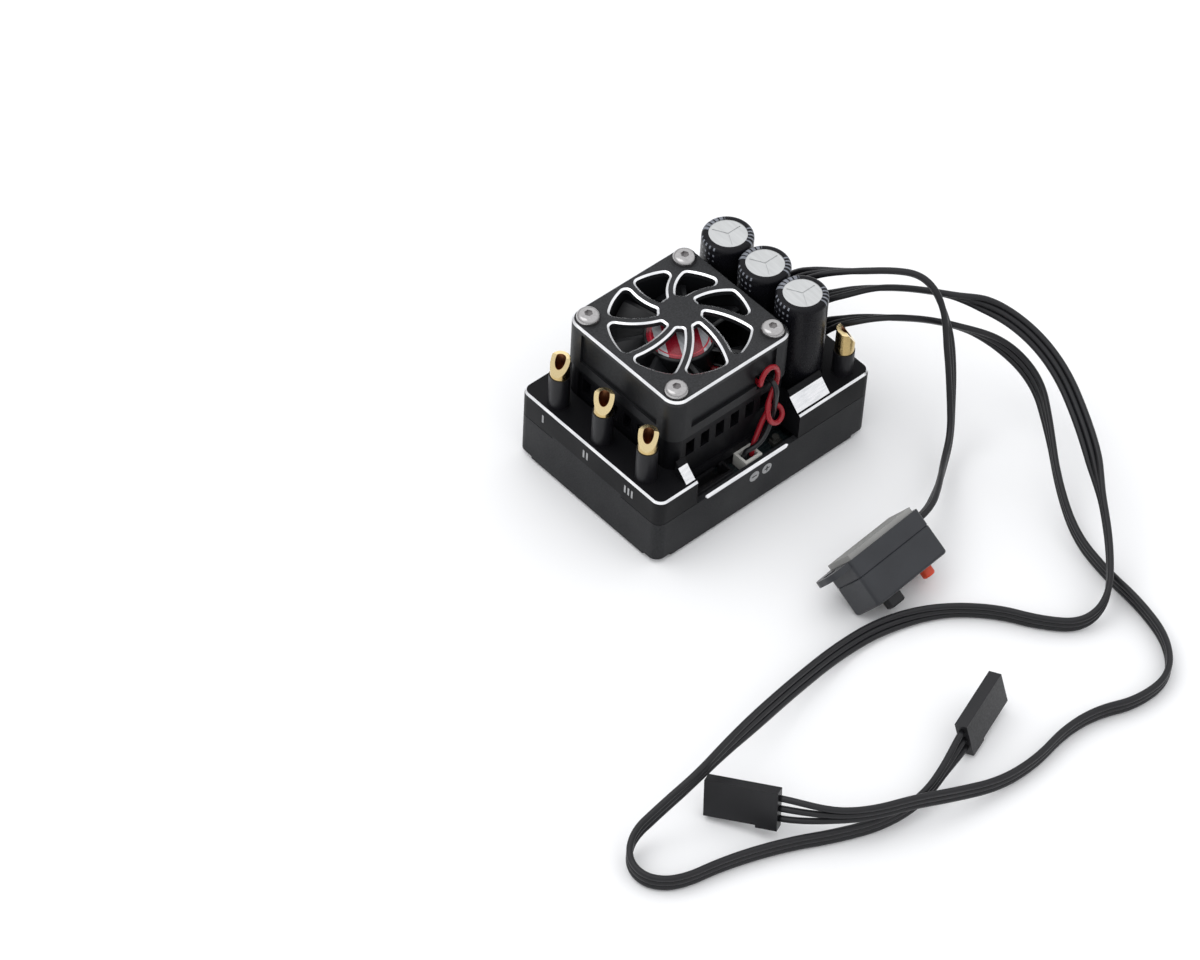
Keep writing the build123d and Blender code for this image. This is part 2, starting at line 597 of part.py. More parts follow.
def fan_frame():
    half = FAN_SIZE / 2
    frame = slab(FAN_SIZE, FAN_SIZE, 3.0, (SINK_TOP, FAN_TOP))
    frame -= disc(0, 0, FAN_BORE_R, (SINK_TOP, FAN_TOP))
    length = (-FAN_RECESS_HALF, FAN_RECESS_HALF)
    recess = block(length, (-half, -half + FAN_RECESS), (FAN_RECESS_Z, FAN_TOP))
    for side in quarter_turns(recess):
        frame -= side
    strut_z = (SINK_TOP, FAN_HUB_PLATE_TOP)
    frame += disc(0, 0, FAN_HUB_PLATE_R, strut_z)
    strut = block((5.0, FAN_BORE_R + 0.3), (-STRUT_WIDTH / 2, STRUT_WIDTH / 2), strut_z)
    for turn in (-58, 32, 122, 212):
        frame += Rot(Z=turn) * strut
    frame += ring(0, 0, BEARING_R, BEARING_R + 0.6, (FAN_HUB_PLATE_TOP, BEARING_TOP - 0.3))
    for x, y in corners(FAN_SCREW, FAN_SCREW):
        frame -= disc(x, y, FAN_SCREW_R + 0.2, (SINK_TOP, FAN_TOP))
    frame = Pos(TOWER_X, 0, 0) * frame
    return frame - block(FAN_NOTCH_X, (-half - 1, -half + 5.0), FAN_NOTCH_Z)


def guard_spoke(index):
    """A curved spoke from the off-centre hub to the ring, bowed to one side."""
    turn = index * 360 / GUARD_SPOKES
    outer = Vector(GUARD_RING_R + 0.9, 0).rotate(Axis.Z, turn) + Vector(*GUARD_RING_OFFSET)
    inner = Vector(GUARD_HUB_R - 0.9, 0).rotate(Axis.Z, turn + GUARD_SPOKE_TWIST) + Vector(*GUARD_HUB_OFFSET)
    left = (outer - inner).normalized().rotate(Axis.Z, 90)
    middle = (outer + inner) * 0.5 + left * GUARD_SPOKE_BULGE
    return trace(ThreePointArc(inner, middle, outer), GUARD_SPOKE_WIDTH)


def fan_guard():
    plate = Pos(0, 0, FAN_TOP) * extrude(RectangleRounded(FAN_SIZE, FAN_SIZE, 3.0), GUARD_TOP - FAN_TOP)
    plate = chamfer(plate.edges().group_by(Axis.Z)[-1], GUARD_RIM_CHAMFER)
    petals = Pos(*GUARD_RING_OFFSET) * Circle(GUARD_RING_R) - Pos(*GUARD_HUB_OFFSET) * Circle(GUARD_HUB_R)
    for index in range(GUARD_SPOKES):
        petals -= guard_spoke(index)
    hub = Vector(*GUARD_HUB_OFFSET)
    near = [v for v in petals.vertices() if (Vector(v) - hub).length < GUARD_HUB_R + 1]
    petals = fillet(near, 0.5)
    middle = Vector(*GUARD_RING_OFFSET)
    far = [v for v in petals.vertices() if abs((Vector(v) - middle).length - GUARD_RING_R) < 0.01]
    petals = fillet(far, 1.0)
    plate -= extrude(Pos(0, 0, FAN_TOP) * petals, GUARD_TOP - FAN_TOP)
    for index in range(GUARD_SPOKES):
        face = plate.faces().sort_by(Axis.Z)[-1]
        openings = face.inner_wires().sort_by(Axis.X)
        plate = chamfer(openings[index].edges(), GUARD_EDGE_WIDTH, GUARD_EDGE_DROP, reference=face)
    for x, y in corners(FAN_SCREW, FAN_SCREW):
        plate -= disc(x, y, FAN_SCREW_R + 0.2, (FAN_TOP, GUARD_TOP))
    return Pos(TOWER_X, 0, 0) * plate


def fan_guard_screws():
    screws = []
    for x, y in corners(FAN_SCREW, FAN_SCREW):
        head = disc(x, y, FAN_SCREW_HEAD_R, (GUARD_TOP, GUARD_TOP + 1.35))
        head = fillet(head.edges().group_by(Axis.Z)[-1], 1.0)
        socket = Pos(x, y, GUARD_TOP + 0.45) * extrude(RegularPolygon(0.85, 6), 2)
        shank = disc(x, y, FAN_SCREW_R, (SINK_TOP - 4.6, GUARD_TOP))
        screws.append(Pos(TOWER_X, 0, 0) * (head - socket + shank))
    return screws


# ---- fan motor and rotor --------------------------------------------------------------
def at_tower(shape):
    return Pos(TOWER_X, 0, 0) * shape


def fan_impeller():
    hub = disc(0, 0, HUB_R, (HUB_BOTTOM, HUB_TOP))
    hub = fillet(hub.edges().group_by(Axis.Z)[-1], 0.5)
    hub -= disc(0, 0, MAGNET_R[1], (HUB_BOTTOM, HUB_TOP - HUB_CROWN))
    hub += disc(0, 0, 1.6, (BEARING_TOP + 0.3, HUB_TOP - HUB_CROWN))
    middle = (HUB_BOTTOM + BLADE_TOP) / 2
    band = ring(0, 0, HUB_R - 0.3, BLADE_TIP_R, (HUB_BOTTOM, BLADE_TOP))
    root = Plane(origin=(HUB_R - 0.6, 0, middle), x_dir=(0, 1, 0), z_dir=(1, 0, 0))
    tip = Plane(origin=(BLADE_TIP_R + 0.5, 2.0, middle), x_dir=(0, 1, 0), z_dir=(1, 0, 0))
    sections = [
        root * Rot(Z=-52) * Rectangle(6.4, BLADE_THICK),
        tip * Rot(Z=-34) * Rectangle(9.4, BLADE_THICK),
    ]
    blade = loft(sections) & band
    for index in range(BLADES):
        hub += Rot(Z=index * 360 / BLADES) * blade
    return at_tower(hub - disc(0, 0, SHAFT_R, (HUB_BOTTOM, HUB_TOP - 0.4)))


def fan_stator():
    """A four-pole core round the bearing boss."""
    z = (27.4, 29.4)
    core = ring(0, 0, BEARING_R + 0.6, BEARING_R + 1.2, z)
    arm = block((BEARING_R + 0.9, STATOR_R - 0.4), (-0.6, 0.6), z)
    shoe = ring(0, 0, STATOR_R - 0.6, STATOR_R, z) & block((0, STATOR_R), (-2.4, 2.4), z)
    for turn in (0, 90, 180, 270):
        core += Rot(Z=turn) * (arm + shoe)
    return at_tower(core)


def fan_coils():
    z = (27.0, 29.8)
    coil = block((2.95, 3.85), (-1.2, 1.2), z) - block((2.9, 4.1), (-0.6, 0.6), (27.4, 29.4))
    return [at_tower(Rot(Z=turn) * coil) for turn in (0, 90, 180, 270)]


# ---- switch, in its own axes: X along it, Y from back to front, Z across ---------------
def switch_place():
    return Pos(*SWITCH_AT) * Rot(Z=SWITCH_TURN[2]) * Rot(X=SWITCH_TURN[0])


def switch_box(y, corner):
    """The switch's outline between two depths, with its four long corners rounded."""
    outline = Pos(SWITCH_LENGTH / 2, SWITCH_WIDTH / 2) * RectangleRounded(SWITCH_LENGTH, SWITCH_WIDTH, corner)
    lying = Plane(origin=(0, y[1], 0), x_dir=(1, 0, 0), z_dir=(0, -1, 0))
    return extrude(lying * outline, y[1] - y[0])


def switch_base():
    base = switch_box((0, SWITCH_BASE_DEPTH), SWITCH_CORNER_R)
    base = chamfer(base.edges().group_by(Axis.Y)[-1], SEAM_GROOVE)
    ear_z = (SWITCH_WIDTH / 2 - EAR_WIDTH / 2, SWITCH_WIDTH / 2 + EAR_WIDTH / 2)
    ear = block((-EAR_REACH, 1), (0, EAR_THICK), ear_z)
    ear = fillet(ear.edges().filter_by(Axis.Y).group_by(Axis.X)[0], 3.0)
    base += ear
    inner_z = (SWITCH_WALL, SWITCH_WIDTH - SWITCH_WALL)
    base -= block((SWITCH_WALL, SWITCH_LENGTH - SWITCH_WALL), (SWITCH_WALL, SWITCH_BASE_DEPTH), inner_z)
    ear_middle = Pos(-EAR_REACH / 2, EAR_THICK / 2, SWITCH_WIDTH / 2)
    return base - ear_middle * Rot(X=90) * Cylinder(EAR_HOLE_R, 2 * EAR_THICK)


def switch_cover():
    cover = switch_box((SWITCH_BASE_DEPTH, SWITCH_DEPTH), SWITCH_CORNER_R)
    front = cover.edges().group_by(Axis.Y)[-1]
    cover = fillet(front, 0.6)
    cover = chamfer(cover.edges().group_by(Axis.Y)[0], SEAM_GROOVE)
    inner_z = (SWITCH_WALL, SWITCH_WIDTH - SWITCH_WALL)
    inner_x = (SWITCH_WALL, SWITCH_LENGTH - SWITCH_WALL)
    cover -= block(inner_x, (SWITCH_BASE_DEPTH, SWITCH_DEPTH - SWITCH_WALL), inner_z)
    slot_x = (KNOB_L - KNOB_SIZE[0] / 2 - 0.3, KNOB_L + KNOB_SIZE[0] / 2 + KNOB_TRAVEL + 0.3)
    slot_z = (SWITCH_WIDTH / 2 - KNOB_SIZE[1] / 2 - 0.3, SWITCH_WIDTH / 2 + KNOB_SIZE[1] / 2 + 0.3)
    cover -= block(slot_x, (SWITCH_DEPTH - 2, SWITCH_DEPTH + 1), slot_z)
    return cover - across(BUTTON_L, BUTTON_R + 0.15, (SWITCH_DEPTH - 2, SWITCH_DEPTH + 1))


def across(x, radius, y):
    """A round bar along the switch's depth."""
    return Pos(x, (y[0] + y[1]) / 2, SWITCH_WIDTH / 2) * Rot(X=90) * Cylinder(radius, y[1] - y[0])


def switch_knob():
    half_x, half_z = KNOB_SIZE[0] / 2, KNOB_SIZE[1] / 2
    middle = SWITCH_WIDTH / 2
    span = (middle - half_z, middle + half_z)
    knob = block((KNOB_L - half_x, KNOB_L + half_x), (7.2, SWITCH_DEPTH + KNOB_PROUD), span)
    knob = chamfer(knob.edges().group_by(Axis.Y)[-1], 0.3)
    return knob + block((KNOB_L - 1.0, KNOB_L + 1.0), (6.0, 7.2), (middle - 0.5, middle + 0.5))


def slide_switch_body():
    """The slide switch behind the knob, with a window that its actuator runs in."""
    middle = SWITCH_WIDTH / 2
    body = block((1.6, 11.6), (3.2, 6.9), (middle - 2.2, middle + 2.2))
    window_x = (KNOB_L - 1.3, KNOB_L + 1.3 + KNOB_TRAVEL)
    return body - block(window_x, (5.6, 6.9), (middle - 0.8, middle + 0.8))


def setup_button():
    button = across(BUTTON_L, BUTTON_R, (6.6, SWITCH_DEPTH + BUTTON_PROUD))
    button = fillet(button.edges().group_by(Axis.Y)[-1], 0.5)
    return button + across(BUTTON_L, BUTTON_R + 0.5, (6.6, 7.2))


def tact_switch():
    low = 3.2
    middle = SWITCH_WIDTH / 2
    body = block((BUTTON_L - 1.9, BUTTON_L + 1.9), (low, low + 2.2), (middle - 1.9, middle + 1.9))
    return body + across(BUTTON_L, 0.8, (low + 2.2, low + 2.8))


def switch_board():
    return block((1.4, 17.6), (2.2, 3.2), (1.4, SWITCH_WIDTH - 1.4))


def switch_tape():
    return block((1.0, SWITCH_LENGTH - 1.0), (-TAPE_THICK, 0), (0.8, SWITCH_WIDTH - 0.8))


# ---- receiver plugs, in their own axes: X from the wires, Y through, Z across ----------
def plug_place(at, turn):
    return Pos(*at) * Rot(Z=turn[2]) * Rot(Y=turn[1]) * Rot(X=turn[0])


def contact_places():
    middle = PLUG_WIDTH / 2
    return [middle - CONTACT_PITCH, middle, middle + CONTACT_PITCH]


def receiver_plug():
    """A three-way socket: an open channel for each contact and a keying flange."""
    body = block((0, PLUG_LENGTH), (0, PLUG_DEPTH), (0, PLUG_WIDTH))
    body += block((0, PLUG_FLANGE_LENGTH), (0, PLUG_DEPTH), (PLUG_WIDTH, PLUG_WIDTH + PLUG_FLANGE))
    for z in contact_places():
        half_z = CONTACT_SIZE[0] / 2
        half_y = CONTACT_SIZE[1] / 2
        channel_y = (PLUG_DEPTH / 2 - half_y, PLUG_DEPTH / 2 + half_y)
        body -= block((1.2, PLUG_LENGTH), channel_y, (z - half_z, z + half_z))
    return body


def plug_contacts():
    """Three sprung box contacts, open at the mating end."""
    contacts = []
    half_z = CONTACT_SIZE[0] / 2 - 0.1
    half_y = CONTACT_SIZE[1] / 2 - 0.1
    middle = PLUG_DEPTH / 2
    for z in contact_places():
        contact = block((1.2, 12.6), (middle - half_y, middle + half_y), (z - half_z, z + half_z))
        contact -= block((5.0, 12.6), (middle - 0.33, middle + 0.33), (z - 0.4, z + 0.4))
        contacts.append(contact)
    return contacts


def main():
    os.makedirs("parts", exist_ok=True)
    save("lower_case", Part() + lower_case() + board_rests())
    save("upper_case", upper_case())
    save("case_screws", case_screws())
    for letter, (x, y), facing in zip("abc", motor_post_places(), MOTOR_CUP_FACING):
        save(f"motor_post_{letter}", post(x, y, MOTOR_POST_TOP, facing))
    for sign, (x, y), facing in zip(("negative", "positive"), power_post_places(), POWER_CUP_FACING):
        save(f"power_post_{sign}", post(x, y, POWER_POST_TOP, facing))
    save("post_sleeves", post_sleeves())
    save("capacitor_cans", [capacitor_can(x, y) for x, y in capacitor_places()])
    save("capacitor_sleeves", [capacitor_sleeve(x, y) for x, y in capacitor_places()])
    save("capacitor_bungs", [capacitor_bung(x, y) for x, y in capacitor_places()])
    lead_z = (POWER_BOARD_Z[0], CAP_BASE_Z + CAP_BUNG_DEPTH)
    save("capacitor_leads", [disc(x, y, CAP_LEAD_R, lead_z) for x, y in capacitor_lead_places()])
    save("power_board", power_board())
    save("mosfets", mosfets())
    save("thermal_pad", block(PEDESTAL_X, PEDESTAL_Y, (MOSFET_TOP, PAD_TOP)))
    save("control_board", block(CONTROL_BOARD_X, CONTROL_BOARD_Y, CONTROL_BOARD_Z))
    save("microcontroller", block((-6.5, -0.5), (-14.2, -9.4), (CONTROL_BOARD_Z[1], CONTROL_BOARD_Z[1] + 1.0)))
    save("board_chips", board_chips())
    save("board_headers", board_headers())
    save("bec_inductor", block((20.3, 24.3), (7.8, 11.8), (POWER_BOARD_Z[1], POWER_BOARD_Z[1] + 3.4)))
    save("sensor_socket", sensor_socket())
    pin_z = (CONTROL_BOARD_Z[1], 9.9)
    save("sensor_pins", [pin(x, pin_z) for x in sensor_pin_places()])
    save("fan_header", fan_header())
    save("fan_plug", fan_plug())
    save("led", led())
    save("heat_sink", heat_sink())
    save("fan_frame", fan_frame())
    save("fan_guard", fan_guard())
    save("fan_guard_screws", fan_guard_screws())
    save("fan_impeller", fan_impeller())
    save("hub_label", at_tower(disc(0, 0, LABEL_R, (HUB_TOP, HUB_TOP + LABEL_THICK))))
    save("magnet_ring", at_tower(ring(0, 0, *MAGNET_R, (27.0, HUB_TOP - HUB_CROWN))))
    save("fan_shaft", at_tower(disc(0, 0, SHAFT_R, (FAN_HUB_PLATE_TOP + 0.3, HUB_TOP - 0.4))))
    bearing_z = (FAN_HUB_PLATE_TOP, BEARING_TOP)
    save("fan_bearing", at_tower(ring(0, 0, BEARING_BORE_R, BEARING_R, bearing_z)))
    save("fan_stator", fan_stator())
    save("fan_coils", fan_coils())
    board_z = (FAN_HUB_PLATE_TOP, FAN_HUB_PLATE_TOP + 0.8)
    save("fan_board", at_tower(ring(0, 0, BEARING_R + 0.6, 5.6, board_z)))
    save("fan_wire_red", cord_tube("fan_wire_red", FAN_RED_ROUTE, FAN_WIRE_D))
    save("fan_wire_black", cord_tube("fan_wire_black", FAN_BLACK_ROUTE, FAN_WIRE_D))
    save("lead_tails", lead_tails())
    save("switch_lead", cord_tube("switch_lead", SWITCH_LEAD_ROUTE, RIBBON_WIDTH))
    save("receiver_lead_1", cord_tube("receiver_lead_1", RECEIVER_1_ROUTE, RIBBON_WIDTH))
    save("receiver_lead_2", cord_tube("receiver_lead_2", RECEIVER_2_ROUTE, RIBBON_WIDTH))
    switch_pieces = {
        "switch_base": switch_base(), "switch_cover": switch_cover(), "switch_knob": switch_knob(),
        "slide_switch_body": slide_switch_body(), "setup_button": setup_button(),
        "tact_switch": tact_switch(), "switch_board": switch_board(), "switch_tape": switch_tape(),
    }
    for name, piece in switch_pieces.items():
        save(name, switch_place() * piece)
    for number, at, turn in ((1, PLUG_1_AT, PLUG_1_TURN), (2, PLUG_2_AT, PLUG_2_TURN)):
        place = plug_place(at, turn)
        save(f"receiver_plug_{number}", place * receiver_plug())
        save(f"plug_contacts_{number}", [place * contact for contact in plug_contacts()])


main()
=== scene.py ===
"""Looks of the electronic speed controller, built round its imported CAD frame. Metres."""
import math

import bpy
from mathutils import Matrix, Vector


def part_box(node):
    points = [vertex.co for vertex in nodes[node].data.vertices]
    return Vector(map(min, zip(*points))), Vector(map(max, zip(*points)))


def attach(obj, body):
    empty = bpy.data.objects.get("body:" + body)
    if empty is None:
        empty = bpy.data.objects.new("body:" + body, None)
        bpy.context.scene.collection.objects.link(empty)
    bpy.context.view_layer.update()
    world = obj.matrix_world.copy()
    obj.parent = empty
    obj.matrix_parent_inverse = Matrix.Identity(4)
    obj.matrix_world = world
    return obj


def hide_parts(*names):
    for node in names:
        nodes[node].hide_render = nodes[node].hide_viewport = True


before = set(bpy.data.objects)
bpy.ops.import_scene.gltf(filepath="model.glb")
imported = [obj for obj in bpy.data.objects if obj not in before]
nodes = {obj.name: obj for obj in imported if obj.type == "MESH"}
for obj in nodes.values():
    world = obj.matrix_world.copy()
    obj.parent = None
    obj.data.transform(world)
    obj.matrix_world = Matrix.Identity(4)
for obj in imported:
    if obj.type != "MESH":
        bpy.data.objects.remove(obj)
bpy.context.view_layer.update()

MM = 0.001
CASE_BODY = "esc"


# ---- view and light ---------------------------------------------------------
CAMERA_AZIMUTH = math.radians(-44.317)
CAMERA_ELEVATION = math.radians(47.619)
CAMERA_ROLL = math.radians(3.361)
CAMERA_DISTANCE = 0.878156
CAMERA_SHIFT = (-0.017535, -0.007837)    # sideways and upwards, in the picture plane
CAMERA_LENS = 138.76
HORIZON_LIGHT = 0.45
SKY_LIGHT = 1.15
SKY_TOP = 0.62                           # sine of the elevation where the sky is brightest
WINDOW_POWER = 1.6
WINDOW_SIZE = 0.7
WINDOW_PLACE = (-0.35, 0.25, 0.85)
WINDOW_TARGET = (0, -0.03, 0)
FLOOR_SIZE = 6.0
FLOOR_GAP = 0.0002


def make_camera():
    az, el, roll = CAMERA_AZIMUTH, CAMERA_ELEVATION, CAMERA_ROLL
    back = Vector((math.sin(az) * math.cos(el), -math.cos(az) * math.cos(el), math.sin(el)))
    level = Vector((math.cos(az), math.sin(az), 0))
    rise = back.cross(level)
    right = math.cos(roll) * level + math.sin(roll) * rise
    up = -math.sin(roll) * level + math.cos(roll) * rise
    place = CAMERA_DISTANCE * back + CAMERA_SHIFT[0] * right + CAMERA_SHIFT[1] * up
    camera = bpy.data.objects.new("camera", bpy.data.cameras.new("camera"))
    camera.data.lens = CAMERA_LENS
    camera.data.clip_start = 0.01
    camera.matrix_world = Matrix((
        (right.x, up.x, back.x, place.x),
        (right.y, up.y, back.y, place.y),
        (right.z, up.z, back.z, place.z),
        (0, 0, 0, 1),
    ))
    bpy.context.collection.objects.link(camera)
    bpy.context.scene.camera = camera


def make_world():
    """A white room: dimmer near the horizon, bright overhead."""
    world = bpy.data.worlds.new("studio")
    world.use_nodes = True
    tree = world.node_tree
    background = tree.nodes["Background"]
    background.inputs["Color"].default_value = (0.98, 0.985, 1.0, 1)
    direction = tree.nodes.new("ShaderNodeTexCoord")
    split = tree.nodes.new("ShaderNodeSeparateXYZ")
    rise = tree.nodes.new("ShaderNodeMapRange")
    levels = {"From Min": 0.0, "From Max": SKY_TOP, "To Min": HORIZON_LIGHT, "To Max": SKY_LIGHT}
    for socket, value in levels.items():
        rise.inputs[socket].default_value = value
    tree.links.new(direction.outputs["Generated"], split.inputs[0])
    tree.links.new(split.outputs["Z"], rise.inputs["Value"])
    tree.links.new(rise.outputs["Result"], background.inputs["Strength"])
    return world


def window_light():
    """One large soft lamp high on the left, for the shadows' direction."""
    lamp = bpy.data.lights.new("window", "AREA")
    lamp.size = WINDOW_SIZE
    lamp.energy = WINDOW_POWER
    holder = bpy.data.objects.new("window", lamp)
    holder.location = WINDOW_PLACE
    aim = Vector(WINDOW_TARGET) - holder.location
    holder.rotation_euler = aim.to_track_quat("-Z", "Y").to_euler()
    bpy.context.collection.objects.link(holder)


def make_stage():
    scene = bpy.context.scene
    scene.view_settings.view_transform = "Standard"
    scene.world = make_world()
    window_light()
    bpy.ops.mesh.primitive_grid_add(x_subdivisions=2, y_subdivisions=2, size=FLOOR_SIZE)
    floor = bpy.context.object
    floor.name = "studio_floor"
    floor.location.z = -FLOOR_GAP
    paper = Material("studio_paper", (0.965, 0.968, 0.972), roughness=0.8)
    floor.data.materials.append(paper.material)


# ---- cut and printed details, in metres and radians ----------------------------
STEEPEST_CUT = 0.66                      # least Z of a bright-cut bevel's normal
LOWER_CUT_TOP = 0.0125                   # the cases are cut bright only below these heights
UPPER_CUT_TOP = 0.0189
CUP_R = 0.00101
CUP_EDGE = 0.00005                       # width of the change from copper to gold
RULES_ROUND = 26.0                       # rates of the print's lines round a capacitor
DASHES_ROUND = 30.0
DASH_ROW_PITCH = 0.0015
RULED_BAND = (0.97, 2.25)                # the angles that each kind of print covers
FAR_DASHES = (-1.30, -0.25)
NEAR_DASHES = (2.40, -2.85)              # through half a turn
SHOULDER_DROP = 0.0009                   # how far the print reaches down from the top
COLLAR_DROP = 0.0034
STRIPE_ACROSS = (0.86, -0.51)
STRIPE_START = 0.0300
STRIPE_PITCH = 0.0042
STRIPE_WIDTH = 0.0017
LABEL_RING = (0.0053, 0.0056)


# ---- material nodes ----------------------------------------------------------
class Material:
    """A Principled material and the few node recipes that the finishes share."""

    def __init__(self, name, color=(0.5, 0.5, 0.5), roughness=0.5, metallic=0.0, ior=1.5):
        self.material = bpy.data.materials.new(name)
        self.material.use_nodes = True
        self.tree = self.material.node_tree
        self.shader = self.tree.nodes["Principled BSDF"]
        self.shader.inputs["Base Color"].default_value = (*color, 1)
        self.shader.inputs["Roughness"].default_value = roughness
        self.shader.inputs["Metallic"].default_value = metallic
        self.shader.inputs["IOR"].default_value = ior
        self.places = None

    def node(self, kind, **settings):
        made = self.tree.nodes.new(kind)
        for key, value in settings.items():
            setattr(made, key, value)
        return made

    def link(self, source, target):
        self.tree.links.new(source, target)

    def coordinates(self):
        if self.places is None:
            self.places = self.node("ShaderNodeTexCoord").outputs["Object"]
        return self.places

    def math(self, operation, first, second=None):
        made = self.node("ShaderNodeMath", operation=operation)
        for socket, value in zip(made.inputs, (first, second)):
            if value is None:
                continue
            if isinstance(value, (int, float)):
                socket.default_value = value
            else:
                self.link(value, socket)
        return made.outputs[0]

    def axes(self, source=None):
        split = self.node("ShaderNodeSeparateXYZ")
        self.link(source or self.coordinates(), split.inputs[0])
        return split.outputs

    def facing_up(self):
        """The Z of the surface's own normal."""
        return self.axes(self.node("ShaderNodeNewGeometry").outputs["True Normal"])[2]

    def off_centre(self, centre):
        """The offsets in X and Y from an upright axis, and the distance from it."""
        offsets = [self.math("SUBTRACT", place, middle) for place, middle in zip(self.axes()[:2], centre)]
        squares = [self.math("MULTIPLY", offset, offset) for offset in offsets]
        return (*offsets, self.math("SQRT", self.math("ADD", *squares)))

    def noise(self, size, detail=2.0, stretch=(1, 1, 1), roughness=0.5):
        """Noise with features of about the given size, in metres."""
        mapping = self.node("ShaderNodeMapping")
        mapping.inputs["Scale"].default_value = stretch
        self.link(self.coordinates(), mapping.inputs["Vector"])
        made = self.node("ShaderNodeTexNoise")
        made.inputs["Scale"].default_value = 1.0 / size
        made.inputs["Detail"].default_value = detail
        made.inputs["Roughness"].default_value = roughness
        self.link(mapping.outputs[0], made.inputs["Vector"])
        return made.outputs["Fac"]

    def spread(self, source, low, high, start=0.3, end=0.7):
        """A value between low and high as the source goes from start to end."""
        made = self.node("ShaderNodeMapRange")
        for key, value in (("From Min", start), ("From Max", end), ("To Min", low), ("To Max", high)):
            made.inputs[key].default_value = value
        self.link(source, made.inputs["Value"])
        return made.outputs["Result"]

    def between(self, source, low, high):
        """1 where the source lies between low and high, else 0."""
        above = self.math("GREATER_THAN", source, low)
        return self.math("MULTIPLY", above, self.math("LESS_THAN", source, high))

    def wave(self, source, rate):
        return self.math("SINE", self.math("MULTIPLY", source, rate))

    def color_mix(self, factor, first, second):
        made = self.node("ShaderNodeMix", data_type="RGBA")
        self.link(factor, made.inputs["Factor"])
        for socket, value in ((made.inputs[6], first), (made.inputs[7], second)):
            if isinstance(value, tuple):
                socket.default_value = (*value, 1)
            else:
                self.link(value, socket)
        return made.outputs[2]

    def value_mix(self, factor, first, second):
        made = self.node("ShaderNodeMix", data_type="FLOAT")
        self.link(factor, made.inputs["Factor"])
        for socket, value in ((made.inputs[2], first), (made.inputs[3], second)):
            if isinstance(value, (int, float)):
                socket.default_value = value
            else:
                self.link(value, socket)
        return made.outputs[0]

    def bump(self, source, depth, strength):
        made = self.node("ShaderNodeBump")
        made.inputs["Distance"].default_value = depth
        made.inputs["Strength"].default_value = strength
        self.link(source, made.inputs["Height"])
        self.link(made.outputs[0], self.shader.inputs["Normal"])

    def current(self, socket):
        """What feeds the shader's socket so far."""
        return self.shader.inputs[socket].links[0].from_socket

    def feed(self, socket, source):
        self.link(source, self.shader.inputs[socket])


def middle_of(node):
    low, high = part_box(node)
    return [(start + end) / 2 for start, end in zip(low, high)]


def dress(material, *names):
    """Gives a material to every slot of the named CAD nodes."""
    for name in names:
        target = nodes[name]
        if not target.material_slots:
            target.data.materials.append(material)
        for slot in target.material_slots:
            slot.material = material


def grained(name, color, grain=0.00022, depth=0.00002, rough=(0.42, 0.6), speckle=0.35, ior=1.3):
    """Black plastic or blasted metal: a fine grain with small changes of tone and gloss."""
    made = Material(name, color, ior=ior)
    fine = made.noise(grain, detail=3.0, roughness=0.7)
    broad = made.noise(0.012, detail=2.0)
    pale = tuple(channel * (1 + 2.2 * speckle) for channel in color)
    dark = tuple(channel * (1 - speckle) for channel in color)
    tone = made.color_mix(made.spread(fine, 0, 1, 0.35, 0.68), dark, pale)
    made.feed("Base Color", tone)
    made.feed("Roughness", made.spread(broad, *rough))
    made.bump(fine, depth, 0.6)
    return made


def bright_cut(name, color, top=1.0, flattest=0.76, **options):
    """Grained black with its bevelled faces cut bright.

    A face is cut if its normal's Z lies between STEEPEST_CUT and flattest and it is below top, in metres.
    """
    made = grained(name, color, **options)
    cut = made.between(made.facing_up(), STEEPEST_CUT, flattest)
    cut = made.math("MULTIPLY", cut, made.math("LESS_THAN", made.axes()[2], top))
    streaks = made.noise(0.0004, detail=3.0, stretch=(0.12, 0.12, 1.0))
    silver = made.color_mix(made.spread(streaks, 0, 1), (0.74, 0.75, 0.77), (0.96, 0.96, 0.97))
    made.feed("Base Color", made.color_mix(cut, made.current("Base Color"), silver))
    made.feed("Roughness", made.value_mix(cut, made.current("Roughness"), made.spread(streaks, 0.16, 0.3)))
    made.feed("Metallic", cut)
    return made


def metal(name, color, rough=(0.18, 0.3), size=0.0006, stretch=(1, 1, 1)):
    made = Material(name, color, metallic=1.0)
    marks = made.noise(size, detail=3.0, stretch=stretch)
    dark = tuple(channel * 0.86 for channel in color)
    made.feed("Base Color", made.color_mix(made.spread(marks, 0, 1), dark, color))
    made.feed("Roughness", made.spread(marks, *rough))
    return made


def gold_cup(node):
    """Gold with a painted highlight: lighter gold on faces that point upwards, such as the cup's sloped
    rim, and a dark copper-brown inside the post's cup.
    """
    made = metal(f"gold_{node}", (0.66, 0.49, 0.22), rough=(0.12, 0.26), size=0.0009)
    radius = made.off_centre(middle_of(node))[2]
    inside = made.spread(radius, 1, 0, CUP_R, CUP_R + CUP_EDGE)
    # painted highlight: faces pointing upwards, the sloped rim among them, are mixed towards a lighter
    # gold
    rim = made.spread(made.facing_up(), 0, 1, 0.2, 0.4)
    tone = made.color_mix(rim, made.current("Base Color"), (0.94, 0.76, 0.42))
    stain = made.noise(0.0012, detail=3.0)
    copper = made.color_mix(made.spread(stain, 0, 1), (0.20, 0.075, 0.035), (0.40, 0.18, 0.08))
    made.feed("Base Color", made.color_mix(inside, tone, copper))
    made.feed("Roughness", made.value_mix(inside, made.current("Roughness"), 0.42))
    return made.material


